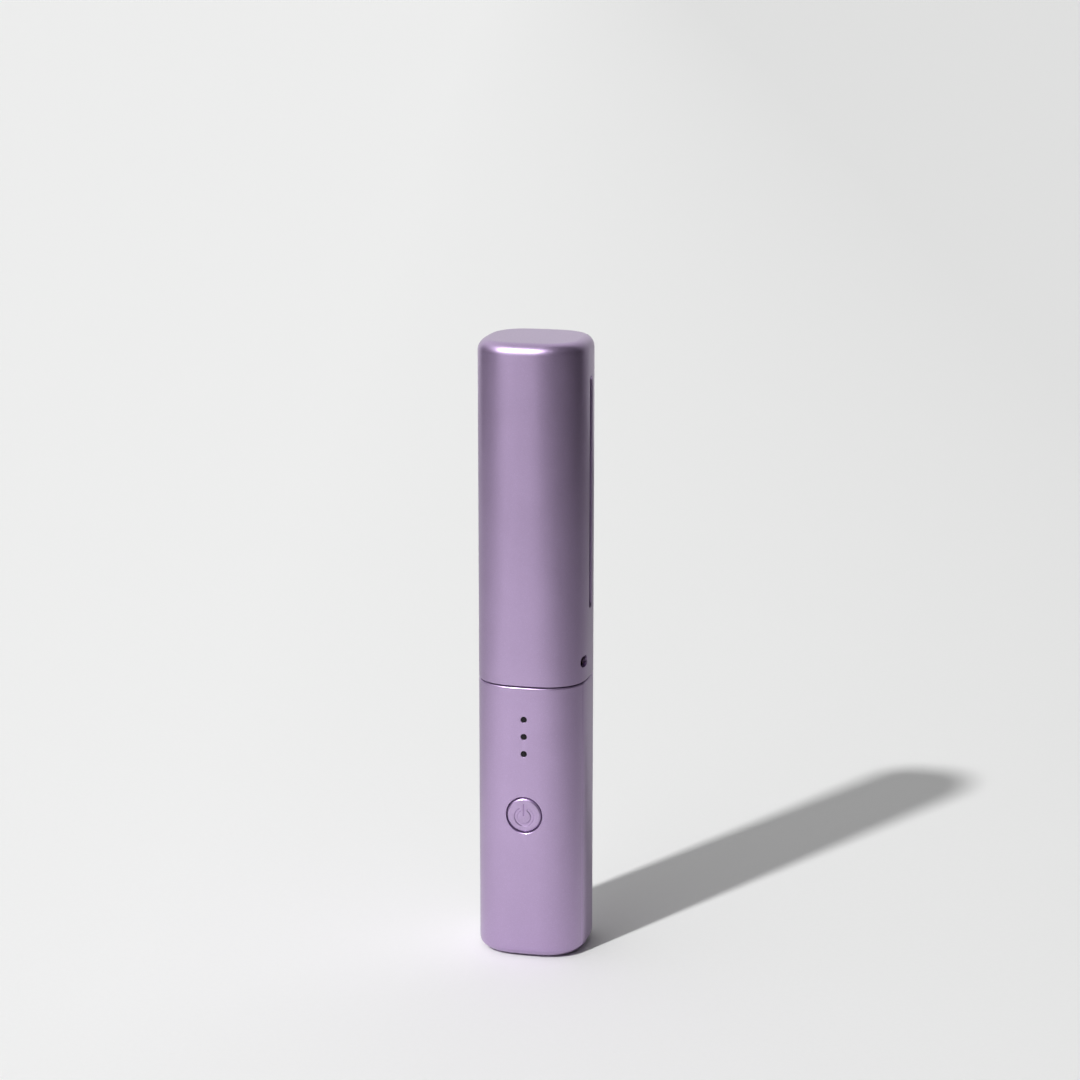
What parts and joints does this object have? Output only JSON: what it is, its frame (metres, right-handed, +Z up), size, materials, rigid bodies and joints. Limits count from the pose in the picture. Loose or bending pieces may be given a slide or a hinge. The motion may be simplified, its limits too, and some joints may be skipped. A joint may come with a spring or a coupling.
{
  "type": "ipl hair remover",
  "caption": "Slim upright handheld light-based hair remover with a round power button and a pull-off cap over its sprung treatment window.",
  "frame": {"origin": "centre of the base, on the surface the object stands on", "axes": "+Z up along the body to the cap's top, -Y towards the power button, +X to the side with the vent slot"},
  "size_m": [0.0324, 0.0316, 0.1835],
  "materials": {
    "lilac_shell": "satin metallic lavender",
    "plum_plastic": "fine moulded grain",
    "dark_plastic": "matt",
    "smoked_lens": "gloss",
    "clear_guide": "clear",
    "white_plastic": "matt",
    "foot_rubber": "matt",
    "seal_rubber": "matt",
    "soft_pad": "matt foam",
    "screw_steel": "zinc plated",
    "spring_steel": "drawn wire",
    "bearing_steel": "polished",
    "switch_metal": "stamped",
    "port_metal": "stamped",
    "board_green": "solder mask",
    "chip_black": "moulded epoxy",
    "led_white": "moulded",
    "cell_wrap": "shrink wrap over a metal can",
    "nickel": "rolled nickel",
    "lead_wire": "silicone sleeve",
    "capacitor_can": "sleeved can",
    "ferrite": "sintered ferrite and wound copper",
    "copper_winding": "enamelled copper",
    "brass": "turned",
    "sink_aluminium": "extruded",
    "mirror_aluminium": "polished",
    "ceramic": "fired ceramic",
    "quartz": "clear",
    "filter": "coated",
    "frame_metal": "satin plated",
    "ribbon_white": "film"
  },
  "bodies": {
    "handset": {"front_shell": "lilac_shell", "rear_shell": "lilac_shell", "base_plate": "plum_plastic", "foot_pad": "foot_rubber", "base_screws": "screw_steel", "chassis": "white_plastic", "chassis_screws": "screw_steel", "control_board": "board_green", "controller_chip": "chip_black", "status_leds": "led_white", "light_guide": "clear_guide", "indicator_lenses": "smoked_lens", "switch_body": "switch_metal", "battery_cell": "cell_wrap", "battery_tabs": "nickel", "battery_leads": "lead_wire", "charge_board": "board_green", "charge_port": "port_metal", "charge_screws": "screw_steel", "neck_screws": "screw_steel", "head_housing": "plum_plastic", "seal_ring": "seal_rubber", "catch_sleeve": "brass", "catch_spring": "spring_steel", "flash_capacitor": "capacitor_can", "capacitor_clamp": "white_plastic", "flash_board": "board_green", "charger_transformer": "ferrite", "trigger_coil": "copper_winding", "power_transistor": "chip_black", "head_harness": "ribbon_white", "fan_frame": "dark_plastic", "fan_bearing": "brass", "fan_stator": "copper_winding", "heat_sink": "sink_aluminium", "reflector": "mirror_aluminium", "lamp_holders": "ceramic", "flash_lamp": "quartz", "lamp_electrodes": "switch_metal", "filter_glass": "filter", "window_bezel": "plum_plastic", "contact_springs": "spring_steel", "contact_switches": "dark_plastic"},
    "power_button": {"power_button": "lilac_shell", "switch_plunger": "dark_plastic"},
    "catch_ball": {"catch_ball": "bearing_steel"},
    "fan": {"fan_rotor": "dark_plastic", "fan_shaft": "bearing_steel"},
    "contact_frame": {"contact_frame": "frame_metal"},
    "cap": {"cap_shell": "lilac_shell", "cap_pad": "soft_pad"}
  },
  "joints": [
    {"name": "button_press", "type": "slide", "parent": "handset", "child": "power_button", "axis": [0, 1, 0], "range_m": [0, 0.0005], "stiffness_N_per_m": 600, "springref_m": -0.001},
    {"name": "catch_press", "type": "slide", "parent": "handset", "child": "catch_ball", "axis": [-1, 0, 0], "range_m": [0, 0.0008], "stiffness_N_per_m": 300, "springref_m": -0.0005, "deforming": ["catch_spring"]},
    {"name": "fan_spin", "type": "hinge", "parent": "handset", "child": "fan", "pos_m": [0, 0, 0.133], "axis": [0, 0, 1], "continuous": true},
    {"name": "contact_press", "type": "slide", "parent": "handset", "child": "contact_frame", "axis": [0, 0, -1], "range_m": [0, 0.001], "stiffness_N_per_m": 500, "springref_m": -0.001, "deforming": ["contact_springs"]},
    {"name": "cap_pull", "type": "slide", "parent": "handset", "child": "cap", "axis": [0, 0, 1], "range_m": [0, 0.105]}
  ]
}
